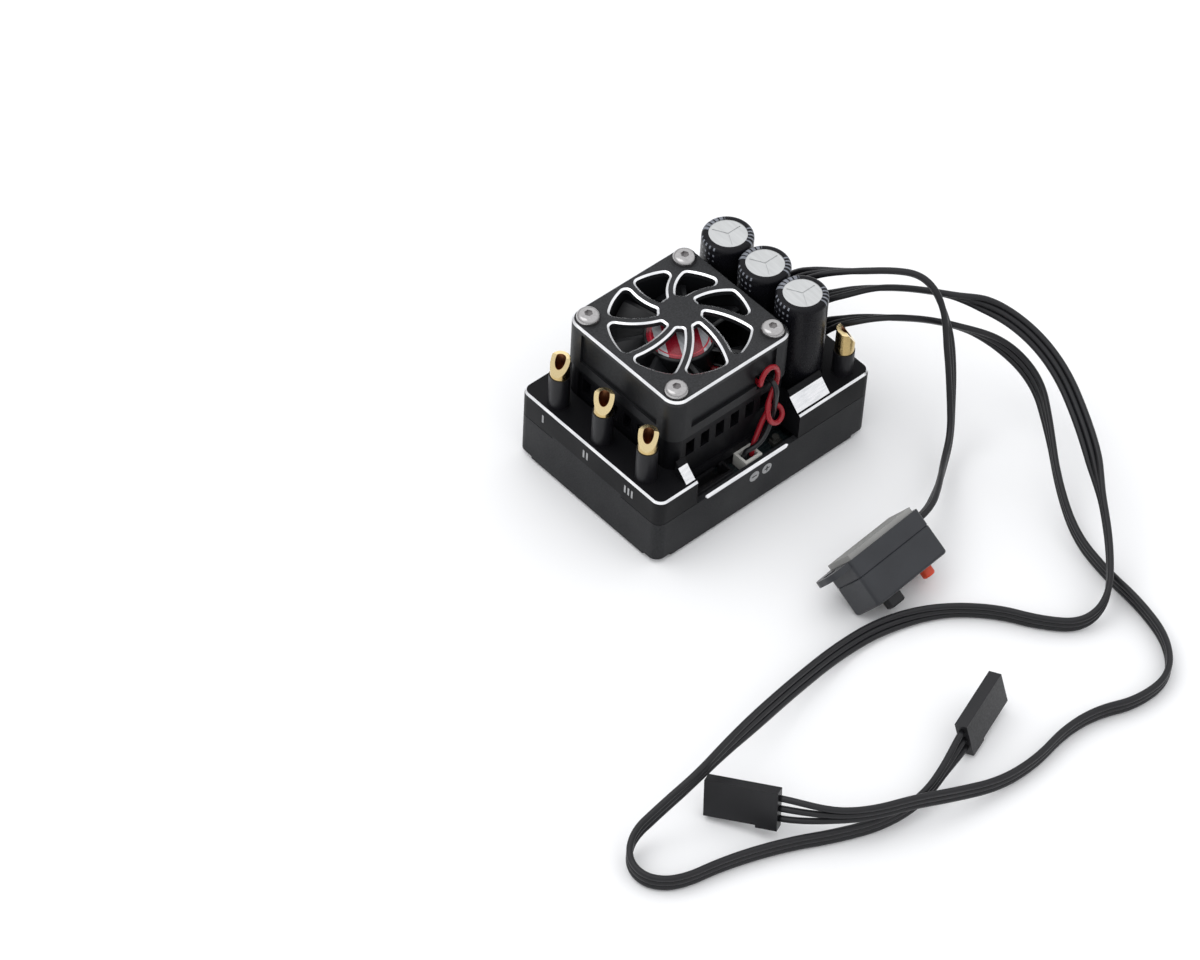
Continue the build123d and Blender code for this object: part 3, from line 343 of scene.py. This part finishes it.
def plastic(name, color, rough=0.4, grain=0.0003, depth=0.000008, coat=0.0, ior=1.4):
    made = Material(name, color, ior=ior)
    fine = made.noise(grain, detail=3.0)
    broad = made.noise(0.006, detail=2.0)
    dark = tuple(channel * 0.82 for channel in color)
    made.feed("Base Color", made.color_mix(made.spread(broad, 0, 1), dark, color))
    made.feed("Roughness", made.spread(fine, rough - 0.06, rough + 0.08))
    made.bump(fine, depth, 0.5)
    made.shader.inputs["Coat Weight"].default_value = coat
    return made


def capacitor_skin():
    """Shrink sleeve with its pale print: a ruled band and rows of dashes by the top edge."""
    made = plastic("capacitor_skin", (0.006, 0.006, 0.008), rough=0.30, grain=0.0004, ior=1.25)
    place = made.axes()
    low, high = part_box("capacitor_cans")
    pitch = (high[1] - low[1]) / 2 - (high[0] - low[0]) / 2
    off_x = made.math("SUBTRACT", place[0], (low[0] + high[0]) / 2)
    cell = made.math("ROUND", made.math("DIVIDE", place[1], pitch))
    off_y = made.math("SUBTRACT", place[1], made.math("MULTIPLY", cell, pitch))
    angle = made.math("ARCTAN2", off_y, off_x)
    below = made.math("SUBTRACT", high[2], place[2])
    ruled = made.math("LESS_THAN", made.wave(angle, RULES_ROUND), 0.55)
    dashed = made.math("GREATER_THAN", made.wave(angle, DASHES_ROUND), 0.35)
    rows = made.math("GREATER_THAN", made.wave(below, 2 * math.pi / DASH_ROW_PITCH), 0.45)
    band = made.math("MULTIPLY", made.between(angle, *RULED_BAND), ruled)
    far_dashes = made.math("MULTIPLY", made.between(angle, *FAR_DASHES), dashed)
    near = made.math(
        "MAXIMUM",
        made.math("GREATER_THAN", angle, NEAR_DASHES[0]),
        made.math("LESS_THAN", angle, NEAR_DASHES[1]),
    )
    near_dashes = made.math("MULTIPLY", near, made.math("MULTIPLY", dashed, rows))
    shoulder = made.math("LESS_THAN", below, SHOULDER_DROP)
    collar = made.math("LESS_THAN", below, COLLAR_DROP)
    ink = made.math("MULTIPLY", shoulder, made.math("MAXIMUM", band, far_dashes))
    ink = made.math("MAXIMUM", ink, made.math("MULTIPLY", collar, near_dashes))
    smudge = made.spread(made.noise(0.0005, detail=2.0), 0.6, 1.0)
    ink = made.math("MULTIPLY", ink, smudge)
    made.feed("Base Color", made.color_mix(ink, made.current("Base Color"), (0.25, 0.265, 0.30)))
    return made.material


def label_print():
    """Red label with slanted silver stripes and a thin red ring near its edge. The silver is kept dark
    grey as painted shade, for the label lies deep in shade.
    """
    made = plastic("label_print", (0.28, 0.010, 0.024), rough=0.28, coat=0.2)
    off_x, off_y, radius = made.off_centre(middle_of("hub_label"))
    parts = [made.math("MULTIPLY", off, share) for off, share in zip((off_x, off_y), STRIPE_ACROSS)]
    slant = made.math("ADD", made.math("ADD", *parts), STRIPE_START)
    stripes = made.between(made.math("MODULO", slant, STRIPE_PITCH), 0.0, STRIPE_WIDTH)
    shine = made.noise(0.0009, detail=2.0, stretch=(1, 0.2, 1))
    # painted shade: the stripes' silver runs only from dark to mid grey, darkened for the shade the label
    # lies in
    silver = made.color_mix(made.spread(shine, 0, 1), (0.30, 0.31, 0.33), (0.55, 0.56, 0.58))
    body = made.color_mix(stripes, made.current("Base Color"), silver)
    ring = made.between(radius, *LABEL_RING)
    made.feed("Base Color", made.color_mix(ring, body, (0.50, 0.03, 0.05)))
    made.shader.inputs["Specular IOR Level"].default_value = 0.6
    return made.material


def board_print():
    """Dark solder mask with faint tracks."""
    made = plastic("board_print", (0.008, 0.012, 0.014), rough=0.32)
    tracks = made.node("ShaderNodeTexBrick")
    tracks.inputs["Scale"].default_value = 300.0
    tracks.inputs["Color1"].default_value = (0.012, 0.02, 0.022, 1)
    tracks.inputs["Color2"].default_value = (0.008, 0.012, 0.014, 1)
    tracks.inputs["Mortar"].default_value = (0.03, 0.045, 0.045, 1)
    made.link(made.coordinates(), tracks.inputs["Vector"])
    made.feed("Base Color", tracks.outputs["Color"])
    return made.material


def dress_cad():
    cut_shell = bright_cut("cut_shell", (0.018, 0.0185, 0.020), top=LOWER_CUT_TOP, ior=1.22)
    dress(cut_shell.material, "lower_case")
    rim = bright_cut("cut_rim", (0.004, 0.004, 0.005), top=UPPER_CUT_TOP, ior=1.24)
    dress(rim.material, "upper_case")
    guard = bright_cut(
        "cut_guard", (0.012, 0.0125, 0.014), flattest=0.93,
        grain=0.00028, depth=0.00003, speckle=0.55, ior=1.4,
    )
    dress(guard.material, "fan_guard")
    dress(grained("sink_black", (0.004, 0.004, 0.005), rough=(0.34, 0.5), ior=1.2).material, "heat_sink")
    dress(plastic("fan_plastic", (0.010, 0.0105, 0.012), rough=0.42, ior=1.3).material, "fan_frame")
    dress(plastic("rotor_plastic", (0.010, 0.0105, 0.012), rough=0.36).material, "fan_impeller")
    dress(metal("screw_steel", (0.40, 0.40, 0.42), rough=(0.3, 0.45)).material, "case_screws")
    dress(metal("guard_screw", (0.46, 0.45, 0.45), rough=(0.14, 0.24)).material, "fan_guard_screws")
    posts = ["motor_post_a", "motor_post_b", "motor_post_c", "power_post_negative", "power_post_positive"]
    for post in posts:
        dress(gold_cup(post), post)
    dress(plastic("sleeve_black", (0.008, 0.008, 0.010), rough=0.38, ior=1.35).material, "post_sleeves")
    aluminium = metal("can_aluminium", (0.64, 0.65, 0.65), rough=(0.28, 0.4), stretch=(1, 0.1, 1))
    dress(aluminium.material, "capacitor_cans")
    dress(capacitor_skin(), "capacitor_sleeves")
    dress(plastic("bung_rubber", (0.02, 0.02, 0.02), rough=0.7).material, "capacitor_bungs")
    dress(metal("tinned_wire", (0.60, 0.60, 0.62)).material, "capacitor_leads")
    dress(board_print(), "power_board", "control_board", "fan_board", "switch_board")
    chip = plastic("chip_epoxy", (0.008, 0.008, 0.009), rough=0.45)
    dress(chip.material, "mosfets", "microcontroller", "board_chips", "slide_switch_body", "tact_switch")
    dress(plastic("pad_silicone", (0.35, 0.42, 0.5), rough=0.7).material, "thermal_pad")
    dress(plastic("ferrite", (0.05, 0.05, 0.055), rough=0.6).material, "bec_inductor")
    black_socket = plastic("socket_black", (0.006, 0.006, 0.007), rough=0.35)
    # painted shade: the fan plug is given this black, standing in for the shade inside it and its black
    # wire
    dress(black_socket.material, "sensor_socket", "board_headers", "fan_plug")
    pin_gold = metal("pin_gold", (0.80, 0.62, 0.32))
    dress(pin_gold.material, "sensor_pins", "plug_contacts_1", "plug_contacts_2")
    dress(plastic("socket_white", (0.66, 0.66, 0.62), rough=0.4).material, "fan_header")
    dress(plastic("led_lens", (0.06, 0.06, 0.055), rough=0.2, coat=0.5).material, "led")
    dress(label_print(), "hub_label")
    dress(plastic("magnet", (0.05, 0.05, 0.055), rough=0.5).material, "magnet_ring")
    dress(metal("shaft_steel", (0.6, 0.6, 0.62)).material, "fan_shaft")
    dress(metal("bearing_bronze", (0.5, 0.36, 0.20), rough=(0.4, 0.5)).material, "fan_bearing")
    dress(metal("core_steel", (0.30, 0.30, 0.32), rough=(0.4, 0.5)).material, "fan_stator")
    dress(metal("copper", (0.7, 0.34, 0.18)).material, "fan_coils")
    dress(plastic("lead_inside", (0.012, 0.012, 0.014), rough=0.45).material, "lead_tails")
    switch = plastic("switch_black", (0.030, 0.032, 0.037), rough=0.36, grain=0.00035, depth=0.00002)
    dress(switch.material, "switch_base", "switch_cover")
    dress(plastic("knob_black", (0.010, 0.010, 0.012), rough=0.34).material, "switch_knob")
    dress(plastic("button_orange", (0.80, 0.085, 0.035), rough=0.34).material, "setup_button")
    foam = plastic("foam_grey", (0.32, 0.32, 0.31), rough=0.85, grain=0.0006, depth=0.0001)
    dress(foam.material, "switch_tape")
    plug = plastic("plug_black", (0.014, 0.014, 0.016), rough=0.40, grain=0.0004, depth=0.000015)
    dress(plug.material, "receiver_plug_1", "receiver_plug_2")


# ---- leads --------------------------------------------------------------------
RIBBON_WIDTH = 3.5
STRAND_D = 1.2
STRAND_PITCH = (RIBBON_WIDTH - STRAND_D) / 2
PLUG_PITCH = 2.0
ROUTES = {
    "switch_lead": [
        (23.8, 3.0, 16.5), (23.8, 3.0, 21.0), (23.7, 1.0, 27.0), (24.8, -4.4, 32.3),
        (29.6, -11.2, 34.8), (34.1, -15.3, 35.3), (37.2, -19.0, 35.2), (38.3, -22.5, 33.4),
        (38.6, -25.1, 29.2), (38.9, -26.8, 23.4), (38.7, -28.6, 16.6), (37.5, -30.8, 9.9),
        (34.8, -34.0, 4.9), (29.2, -37.8, 3.4), (22.6, -42.6, 6.0), (15.78, -46.71, 8.14),
        (11.59, -47.03, 8.14),
    ],
    "receiver_lead_1": [
        (23.8, -1.8, 16.5), (23.8, -1.8, 19.8), (24.3, -3.9, 24.2), (27.0, -8.2, 28.0),
        (34.0, -13.0, 29.4), (43.0, -19.7, 27.4), (51.5, -28.5, 24.2), (54.0, -41.0, 19.0),
        (49.0, -55.0, 13.4), (42.5, -66.0, 8.8), (35.6, -75.0, 6.6), (29.2, -81.2, 3.6),
        (22.5, -81.6, 1.75), (17.0, -76.2, 1.75), (12.4, -68.4, 1.75), (4.6, -61.5, 1.75),
        (-6.0, -57.6, 1.75), (-17.0, -57.2, 2.2), (-31.0, -60.0, 5.5), (-44.0, -63.2, 8.8),
        (-53.0, -65.3, 10.6), (-61.5, -66.8, 10.4), (-69.0, -65.9, 6.6), (-74.6, -65.2, 3.2),
        (-78.4, -68.4, 1.9), (-78.6, -73.4, 1.75), (-74.4, -77.4, 1.75), (-65.0, -79.2, 1.75),
        (-54.5, -83.0, 1.75), (-45.5, -87.8, 1.75), (-37.0, -91.0, 1.75), (-28.8, -91.7, 2.4),
        (-21.63, -89.92, 3.7), (-15.01, -87.72, 4.25),
    ],
    "receiver_lead_2": [
        (23.8, -6.8, 16.5), (23.8, -6.8, 18.6), (24.2, -8.4, 21.4), (26.4, -12.0, 24.4),
        (31.8, -17.0, 25.8), (41.0, -22.6, 23.2), (49.6, -29.6, 18.2), (52.4, -38.4, 12.6),
        (47.6, -47.0, 8.9), (41.4, -56.0, 5.2), (36.8, -65.4, 2.2), (34.9, -75.0, 1.75),
        (34.2, -84.6, 1.75), (31.6, -94.2, 1.75), (25.6, -100.4, 1.75), (16.8, -100.6, 1.75),
        (9.4, -97.4, 1.75), (1.6, -96.8, 1.75), (-7.0, -98.4, 1.75), (-16.0, -98.0, 2.1),
        (-25.0, -95.4, 3.9), (-33.0, -93.0, 6.0), (-39.6, -90.6, 6.2), (-44.6, -87.9, 6.5),
        (-49.21, -83.33, 6.47), (-51.92, -78.61, 5.69),
    ],
}
EDGE_ON = (0.47, 0.48, -0.74)           # the broad side turned away from the usual viewpoint
BROADSIDE = (-0.85, 0.04, -0.51)        # the broad side turned towards it
HALF_TURNED = (-0.40, 0.35, -0.80)
# which way each lead's width points: (fraction of the route, direction)
WIDTHS = {
    "switch_lead": [
        (0.0, (0, 1, 0)), (0.16, (0.3, 0.8, -0.4)), (0.28, EDGE_ON), (0.42, EDGE_ON),
        (0.55, (0.73, 0.13, -0.67)), (0.75, (0.3, 0.1, -0.9)), (1.0, (0, 0.56, -0.83)),
    ],
    "receiver_lead_1": [
        (0.0, (0, 1, 0)), (0.05, (0.3, 0.8, -0.4)), (0.08, EDGE_ON), (0.11, EDGE_ON), (0.16, BROADSIDE),
        (0.25, BROADSIDE), (0.30, (0.1, 0.1, -0.9)), (0.45, (0, 0, -1)), (0.52, (-0.1, -0.55, -0.8)),
        (0.62, (-0.1, -0.6, -0.8)), (0.70, (0, 0, -1)), (0.94, (0, 0, -1)), (1.0, (0.15, -0.22, -0.96)),
    ],
    "receiver_lead_2": [
        (0.0, (0, 1, 0)), (0.05, (0.3, 0.8, -0.4)), (0.10, EDGE_ON), (0.15, EDGE_ON), (0.22, HALF_TURNED),
        (0.34, (0.1, 0.1, -0.95)), (0.9, (0, 0, -1)), (1.0, (-0.24, -0.29, -0.93)),
    ],
}
# millimetres before a plug over which the strands part
FAN_OUT = {"switch_lead": 0.0, "receiver_lead_1": 9.0, "receiver_lead_2": 12.0}


def route_curve(name, points):
    """A NURBS curve with the route's points, given in millimetres, as its control points."""
    curve = bpy.data.curves.new(name, "CURVE")
    curve.dimensions = "3D"
    curve.resolution_u = 16
    spline = curve.splines.new("NURBS")
    spline.points.add(len(points) - 1)
    for knot, point in zip(spline.points, points):
        knot.co = (*(value * MM for value in point), 1)
    spline.order_u = 3
    spline.use_endpoint_u = True
    return curve


def curve_line(curve):
    """The points of a curve's own line."""
    holder = bpy.data.objects.new("line_reader", curve)
    mesh = bpy.data.meshes.new_from_object(holder)
    line = [vertex.co.copy() for vertex in mesh.vertices]
    bpy.data.objects.remove(holder)
    bpy.data.meshes.remove(mesh)
    return line


def eased(share):
    """A share from 0 to 1 with a gentle start and end."""
    return share * share * (3 - 2 * share)


def blend_at(keys, place):
    """The direction at a fraction of the way, between the two nearest keys."""
    for (start, first), (end, second) in zip(keys, keys[1:]):
        if place <= end:
            share = eased((place - start) / (end - start))
            return Vector(first).lerp(Vector(second), share)
    return Vector(keys[-1][1])


def tangents(line):
    result = []
    for index in range(len(line)):
        before = line[max(index - 1, 0)]
        after = line[min(index + 1, len(line) - 1)]
        result.append((after - before).normalized())
    return result


def tube(vertices, faces, line, sides, up, radius, segments=12):
    """Adds a closed round tube along a line to the vertex and face lists."""
    base = len(vertices)
    for point, side, rise in zip(line, sides, up):
        for step in range(segments):
            angle = 2 * math.pi * step / segments
            vertices.append(point + radius * (math.cos(angle) * side + math.sin(angle) * rise))
    for ring in range(len(line) - 1):
        for step in range(segments):
            one = base + ring * segments + step
            two = base + ring * segments + (step + 1) % segments
            faces.append((one, two, two + segments, one + segments))
    faces.append(tuple(base + step for step in reversed(range(segments))))
    last = base + (len(line) - 1) * segments
    faces.append(tuple(last + step for step in range(segments)))


def ribbon(name, material):
    """A flat lead of three joined strands, whose strands part before a plug."""
    line = curve_line(route_curve(f"{name}_route", ROUTES[name]))
    ahead = tangents(line)
    walked = [0.0]
    for before, after in zip(line, line[1:]):
        walked.append(walked[-1] + (after - before).length)
    total = walked[-1]
    sides, rises = [], []
    for distance, forward in zip(walked, ahead):
        width = blend_at(WIDTHS[name], distance / total)
        width = (width - width.dot(forward) * forward).normalized()
        if sides and width.dot(sides[-1]) < 0:
            width.negate()
        sides.append(width)
        rises.append(forward.cross(width).normalized())
    vertices, faces = [], []
    parted = FAN_OUT[name] * MM
    for strand in (-1, 0, 1):
        centres = []
        for point, side, distance in zip(line, sides, walked):
            left = total - distance
            opening = eased(max(0.0, 1 - left / parted)) if parted else 0.0
            pitch = STRAND_PITCH + (PLUG_PITCH - STRAND_PITCH) * opening
            centres.append(point + strand * pitch * MM * side)
        tube(vertices, faces, centres, sides, rises, STRAND_D / 2 * MM)
    mesh = bpy.data.meshes.new(name)
    mesh.from_pydata(vertices, [], faces)
    mesh.polygons.foreach_set("use_smooth", [len(face.vertices) == 4 for face in mesh.polygons])
    mesh.materials.append(material)
    piece = bpy.data.objects.new(f"{name}_ribbon", mesh)
    bpy.context.collection.objects.link(piece)
    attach(piece, CASE_BODY)
    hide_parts(name)
    return piece, line, total


def make_leads():
    rubber = plastic("lead_rubber", (0.012, 0.012, 0.014), rough=0.40, depth=0.00001).material
    riders = {
        "switch_lead": ["switch_base", "switch_cover", "switch_knob", "setup_button", "switch_tape"],
        "receiver_lead_1": ["receiver_plug_1"],
        "receiver_lead_2": ["receiver_plug_2"],
    }
    for name, far_pieces in riders.items():
        piece, line, length = ribbon(name, rubber)


FAN_WIRES = {
    "fan_wire_red": [
        (-2.97, -5.17, 25.9), (1.08, -11.65, 25.9), (1.5, -14.4, 26.2), (0.3, -16.0, 27.4),
        (0.2, -16.2, 29.6), (1.7, -16.1, 31.1), (3.7, -16.0, 30.4), (4.9, -15.8, 28.0),
        (4.8, -15.8, 25.2), (3.3, -16.1, 23.4), (1.7, -16.9, 21.7), (1.4, -17.6, 19.6),
        (2.3, -17.9, 17.5), (4.1, -17.8, 16.4), (5.9, -17.2, 17.0), (6.0, -15.9, 18.4),
        (4.3, -15.25, 18.6), (2.6, -15.3, 16.4), (1.0, -15.7, 13.8), (-0.7, -16.3, 11.9),
        (-0.7, -16.3, 9.7),
    ],
    "fan_wire_black": [
        (-2.04, -4.58, 25.9), (2.02, -11.07, 25.9), (3.3, -14.2, 26.2), (3.0, -16.3, 27.2),
        (3.0, -17.5, 26.2), (3.1, -17.6, 23.9), (3.4, -17.2, 21.4), (3.9, -16.6, 19.0),
        (3.6, -16.5, 16.6), (2.3, -16.9, 14.5), (0.4, -17.3, 13.2), (-1.6, -17.2, 12.7),
        (-2.7, -16.3, 11.9), (-2.7, -16.3, 9.7),
    ],
}
FAN_WIRE_D = 1.05


def make_fan_wires():
    colors = {"fan_wire_red": (0.34, 0.008, 0.018), "fan_wire_black": (0.010, 0.010, 0.012)}
    for name, points in FAN_WIRES.items():
        curve = route_curve(f"{name}_line", points)
        curve.bevel_depth = FAN_WIRE_D / 2 * MM
        curve.bevel_resolution = 5
        curve.use_fill_caps = True
        curve.materials.append(plastic(name, colors[name], rough=0.34, coat=0.15).material)
        piece = bpy.data.objects.new(f"{name}_soft", curve)
        bpy.context.collection.objects.link(piece)
        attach(piece, CASE_BODY)
        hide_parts(name)


# ---- printed marks, in millimetres ------------------------------------------------
INK_LIFT = 0.03
TALLY_PLACES = {1: 12.8, 2: 0.9, 3: -11.0}   # Y of each tally, by its number of bars
TALLY_Z = 13.5
TALLY_STROKE = 0.45
TALLY_PITCH = 0.95
TALLY_HEIGHT = 1.9
SPOT_PLACES = {"minus": -2.65, "plus": 0.54}
SPOT_Z = 7.6
SPOT_R = 1.2
SIGN_REACH = 0.62
SIGN_STROKE = 0.3
UPWARDS = (0, 0, 1)


def stroke_mark(name, parts, origin, right, up, material, lift=INK_LIFT, slot="socket_white"):
    """Flat printed shapes on a wall: each part is a list of corners."""
    out = Vector(right).cross(Vector(up)).normalized()
    vertices, faces = [], []
    for part in parts:
        start = len(vertices)
        for across, rise in part:
            place = Vector(origin) + Vector(right) * across + Vector(up) * rise
            vertices.append((place + out * lift) * MM)
        faces.append(tuple(range(start, start + len(part))))
    mesh = bpy.data.meshes.new(name)
    mesh.from_pydata(vertices, [], faces)
    mesh.materials.append(material)
    piece = bpy.data.objects.new(name, mesh)
    bpy.context.collection.objects.link(piece)
    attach(piece, CASE_BODY)


def bar(x0, y0, x1, y1, width):
    """A straight stroke between two points."""
    along = Vector((x1 - x0, y1 - y0))
    across = Vector((-along.y, along.x)).normalized() * width / 2
    return [(x0 - across.x, y0 - across.y), (x1 - across.x, y1 - across.y),
            (x1 + across.x, y1 + across.y), (x0 + across.x, y0 + across.y)]


def round_spot(radius, steps=32):
    turns = [2 * math.pi * step / steps for step in range(steps)]
    return [(radius * math.cos(turn), radius * math.sin(turn)) for turn in turns]


def make_marks():
    paint = Material("print_ink", roughness=0.5)
    wear = paint.spread(paint.noise(0.0003, detail=3.0), 0, 1, 0.3, 0.5)
    paint.feed("Base Color", paint.color_mix(wear, (0.20, 0.205, 0.21), (0.36, 0.365, 0.37)))
    ink = paint.material
    case_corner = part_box("lower_case")[0]
    wall_x = case_corner[0] / MM
    wall_y = case_corner[1] / MM
    for count, place in TALLY_PLACES.items():
        starts = [(index - (count - 1) / 2) * TALLY_PITCH for index in range(count)]
        tally = [bar(start, -TALLY_HEIGHT / 2, start, TALLY_HEIGHT / 2, TALLY_STROKE) for start in starts]
        stroke_mark(f"phase_mark_{count}", tally, (wall_x, place, TALLY_Z), (0, -1, 0), UPWARDS, ink)
    cross_bar = bar(-SIGN_REACH, 0, SIGN_REACH, 0, SIGN_STROKE)
    upright = bar(0, -SIGN_REACH, 0, SIGN_REACH, SIGN_STROKE)
    signs = {"minus": [cross_bar], "plus": [cross_bar, upright]}
    dark = plastic("sign_black", (0.010, 0.010, 0.012)).material
    for sign, strokes in signs.items():
        wall = ((SPOT_PLACES[sign], wall_y, SPOT_Z), (1, 0, 0), UPWARDS)
        stroke_mark(f"spot_{sign}", [round_spot(SPOT_R)], *wall, ink)
        stroke_mark(f"mark_{sign}", strokes, *wall, dark, lift=2 * INK_LIFT, slot="socket_black")


make_camera()
make_stage()
dress_cad()
make_leads()
make_fan_wires()
make_marks()
